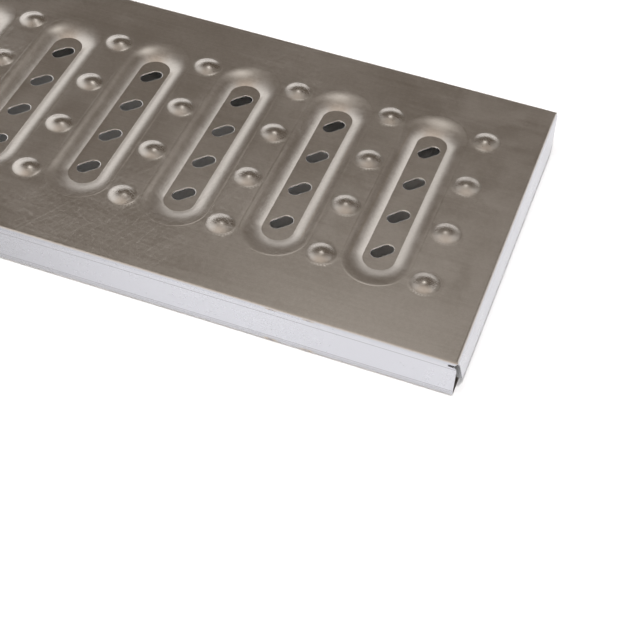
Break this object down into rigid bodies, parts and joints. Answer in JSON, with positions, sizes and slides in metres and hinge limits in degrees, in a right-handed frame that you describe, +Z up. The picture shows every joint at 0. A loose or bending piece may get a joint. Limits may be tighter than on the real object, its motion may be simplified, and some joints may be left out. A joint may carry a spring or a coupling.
{
  "type": "slotted walking plank",
  "caption": "Flat pressed steel plank with folded-down skirts and end flanges, dished slotted troughs for drainage and raised anti-slip studs.",
  "frame": {"origin": "under the middle of the plank, on the plane that its two lips stand on", "axes": "+X along the plank, +Y across it, +Z up out of the walking face"},
  "size_m": [1, 0.202, 0.026],
  "materials": {
    "stainless_deck": "mill-finish stainless with press marks, fine scratches and burnished studs",
    "stainless_rib": "mill-finish stainless, dull",
    "weld_metal": "rippled, heat-tinted weld"
  },
  "bodies": {
    "root": {"deck_panel": "stainless_deck", "cross_rib_1": "stainless_rib", "cross_rib_2": "stainless_rib", "cross_rib_3": "stainless_rib", "cross_rib_4": "stainless_rib", "cross_rib_1_welds": "weld_metal", "cross_rib_2_welds": "weld_metal", "cross_rib_3_welds": "weld_metal", "cross_rib_4_welds": "weld_metal"}
  },
  "joints": []
}
